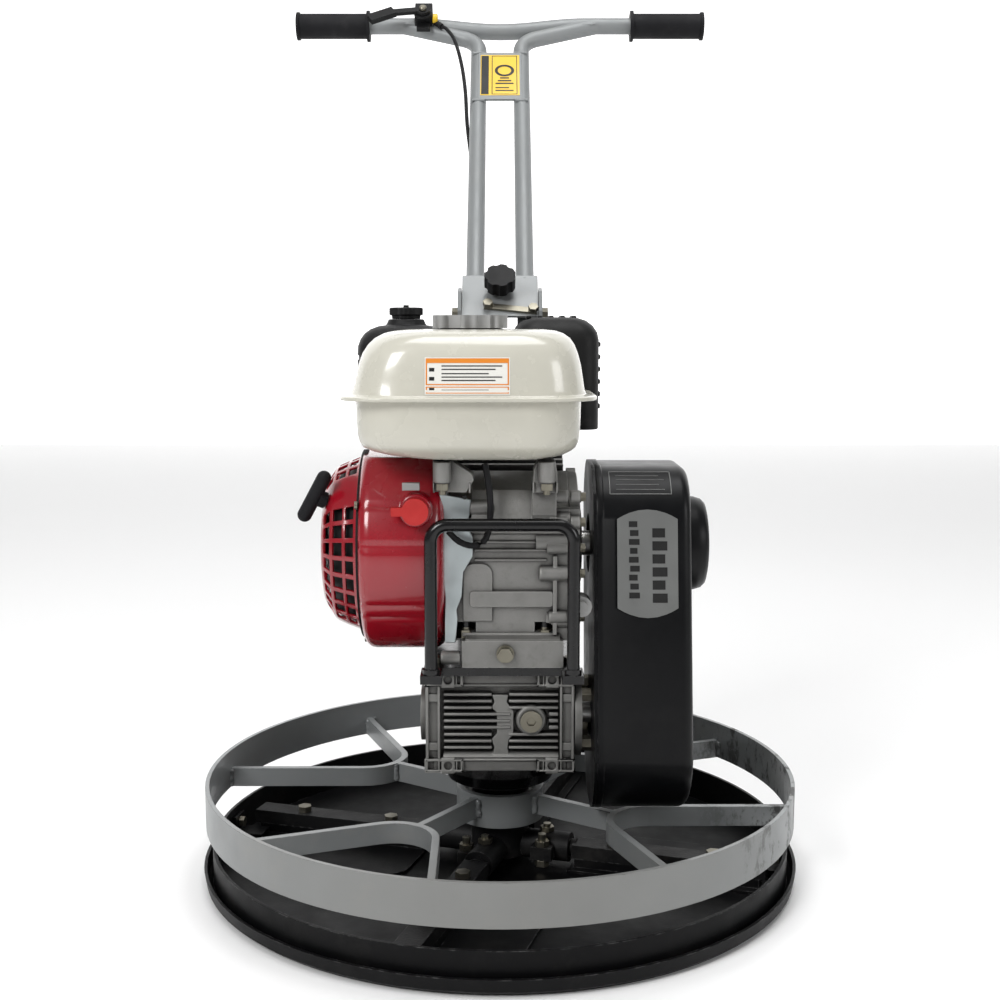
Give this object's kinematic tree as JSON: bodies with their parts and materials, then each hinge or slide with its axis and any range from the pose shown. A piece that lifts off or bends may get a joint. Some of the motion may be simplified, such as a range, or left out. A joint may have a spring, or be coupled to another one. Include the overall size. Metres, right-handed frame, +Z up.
{
  "type": "power trowel",
  "caption": "Walk-behind power trowel with a petrol engine, belt and worm drive, blades in a round float pan, a free-turning guard ring and a folding handle.",
  "frame": {"origin": "the output shaft's axis where it meets the floor, on the underside of the float pan", "axes": "+Z up, +Y towards the operator's handle, +X towards the belt drive"},
  "size_m": [0.6059, 0.9364, 1.0002],
  "materials": {
    "ring_paint": "satin silver-grey paint, scuffed and scratched, weld beads showing",
    "pan_black": "satin black paint, dusty, worn at the edge",
    "arm_black": "matt black paint over rough steel",
    "frame_black": "gloss black paint",
    "guard_black": "satin black powder coat",
    "cast_aluminium": "sand-cast aluminium, lightly oxidised",
    "machined_steel": "machined steel, oiled",
    "bolt_zinc": "zinc-plated steel",
    "wheel_bronze": "machined bronze",
    "pulley_iron": "machined cast iron",
    "belt_rubber": "matt black rubber",
    "shroud_red": "gloss deep red paint",
    "tank_cream": "gloss cream-white enamel",
    "cap_silver": "satin plated metal",
    "engine_plastic": "black moulded plastic",
    "grip_rubber": "matt moulded rubber",
    "switch_red": "semi-gloss red plastic",
    "exhaust_black": "heat-resistant matt black paint",
    "plug_ceramic": "glazed ceramic and plated steel",
    "cable_black": "black sheathing"
  },
  "bodies": {
    "chassis": {"gearbox_housing": "cast_aluminium", "worm_bearing_caps": "cast_aluminium", "output_flange": "frame_black", "shaft_bearings": "machined_steel", "base_plate": "frame_black", "front_guard": "frame_black", "handle_bracket": "ring_paint", "belt_guard_cover": "guard_black", "belt_guard_back": "guard_black", "machine_screws": "bolt_zinc", "drive_belt": "belt_rubber", "crankcase": "cast_aluminium", "crankcase_cover": "cast_aluminium", "cylinder_head": "cast_aluminium", "rocker_cover": "engine_plastic", "spark_plug": "plug_ceramic", "muffler": "exhaust_black", "muffler_shield": "exhaust_black", "carburettor": "cast_aluminium", "air_cleaner_base": "engine_plastic", "air_cleaner_cover": "engine_plastic", "fuel_tank": "tank_cream", "tank_mounts": "cast_aluminium", "fan_housing": "shroud_red", "recoil_cover": "shroud_red", "engine_leads": "cable_black"},
    "rotor": {"float_pan": "pan_black", "blades": "pan_black", "trowel_arms": "arm_black", "spider": "arm_black", "pan_clips": "pan_black", "rotor_fasteners": "bolt_zinc", "output_shaft": "machined_steel", "worm_wheel": "wheel_bronze"},
    "worm": {"worm_shaft": "machined_steel", "driven_pulley": "pulley_iron"},
    "crank": {"crankshaft": "machined_steel", "flywheel": "pulley_iron", "clutch_drum": "pulley_iron"},
    "guard": {"guard_ring": "ring_paint", "guard_spokes": "ring_paint", "guard_hub_bearing": "machined_steel"},
    "handle": {"handlebar": "ring_paint", "handle_tubes": "ring_paint", "handle_base": "ring_paint", "handle_grips": "grip_rubber", "handle_fasteners": "bolt_zinc", "throttle_clamp": "engine_plastic", "throttle_cable": "cable_black"},
    "knob": {"star_knob": "engine_plastic"},
    "throttle": {"throttle_lever": "engine_plastic"},
    "switch": {"engine_switch": "switch_red"},
    "tank_cap": {"fuel_cap": "cap_silver"},
    "oil_cap": {"oil_filler_cap": "cap_silver"},
    "choke": {"choke_lever": "engine_plastic"},
    "fuel_valve": {"fuel_valve_lever": "engine_plastic"},
    "reel": {"recoil_reel": "engine_plastic"},
    "grip": {"starter_grip": "grip_rubber"},
    "cleaner_nut": {"air_cleaner_nut": "engine_plastic"},
    "piston_body": {"piston": "machined_steel"}
  },
  "joints": [
    {"name": "rotor_spin", "type": "hinge", "parent": "chassis", "child": "rotor", "pos_m": [0, 0, 0.1], "axis": [0, 0, 1], "continuous": true},
    {"name": "worm_spin", "type": "hinge", "parent": "chassis", "child": "worm", "pos_m": [0, -0.063, 0.177], "axis": [1, 0, 0], "continuous": true},
    {"name": "crank_spin", "type": "hinge", "parent": "chassis", "child": "crank", "pos_m": [0, -0.025, 0.34], "axis": [1, 0, 0], "continuous": true},
    {"name": "guard_spin", "type": "hinge", "parent": "chassis", "child": "guard", "pos_m": [0, 0, 0.065], "axis": [0, 0, 1], "continuous": true},
    {"name": "handle_fold", "type": "hinge", "parent": "chassis", "child": "handle", "pos_m": [0, 0.208, 0.566], "axis": [1, 0, 0], "range_deg": [-20, 45], "deforming": ["throttle_cable"]},
    {"name": "knob_turn", "type": "hinge", "parent": "handle", "child": "knob", "pos_m": [0, 0.21224, 0.59853], "axis": [0, -0.7071, 0.7071], "range_deg": [0, 360]},
    {"name": "throttle_turn", "type": "hinge", "parent": "handle", "child": "throttle", "pos_m": [-0.106, 0.58418, 0.98461], "axis": [0, -0.7071, 0.7071], "range_deg": [-25, 35]},
    {"name": "switch_turn", "type": "hinge", "parent": "chassis", "child": "switch", "pos_m": [-0.078, -0.129, 0.386], "axis": [0, 1, 0], "range_deg": [0, 60]},
    {"name": "tank_cap_turn", "type": "hinge", "parent": "chassis", "child": "tank_cap", "pos_m": [-0.028, -0.078, 0.556], "axis": [0, 0, 1], "range_deg": [0, 90]},
    {"name": "oil_cap_turn", "type": "hinge", "parent": "chassis", "child": "oil_cap", "pos_m": [0.0765, -0.115, 0.294], "axis": [0, -1, 0], "range_deg": [0, 360]},
    {"name": "choke_turn", "type": "hinge", "parent": "chassis", "child": "choke", "pos_m": [-0.1055, 0.078, 0.428], "axis": [1, 0, 0], "range_deg": [0, 25]},
    {"name": "fuel_valve_turn", "type": "hinge", "parent": "chassis", "child": "fuel_valve", "pos_m": [-0.1055, 0.103, 0.42], "axis": [1, 0, 0], "range_deg": [-90, 0]},
    {"name": "reel_spin", "type": "hinge", "parent": "chassis", "child": "reel", "pos_m": [-0.153, -0.025, 0.34], "axis": [1, 0, 0], "range_deg": [0, 600]},
    {"name": "grip_pull", "type": "slide", "parent": "chassis", "child": "grip", "axis": [-0.8387, -0.3851, 0.3851], "range_m": [0, 0.53]},
    {"name": "cleaner_nut_turn", "type": "hinge", "parent": "chassis", "child": "cleaner_nut", "pos_m": [-0.101, 0.11, 0.568], "axis": [0, 0, 1], "range_deg": [0, 360]},
    {"name": "piston_slide", "type": "slide", "parent": "chassis", "child": "piston_body", "axis": [0, 0.9063, 0.4226], "range_m": [-0.004, 0.0055]}
  ],
  "couplings": [
    {"joint": "worm_spin", "follows": "rotor_spin", "ratio": -15},
    {"joint": "crank_spin", "follows": "rotor_spin", "ratio": -30},
    {"joint": "grip_pull", "follows": "reel_spin", "m_per_rad": 0.05}
  ]
}
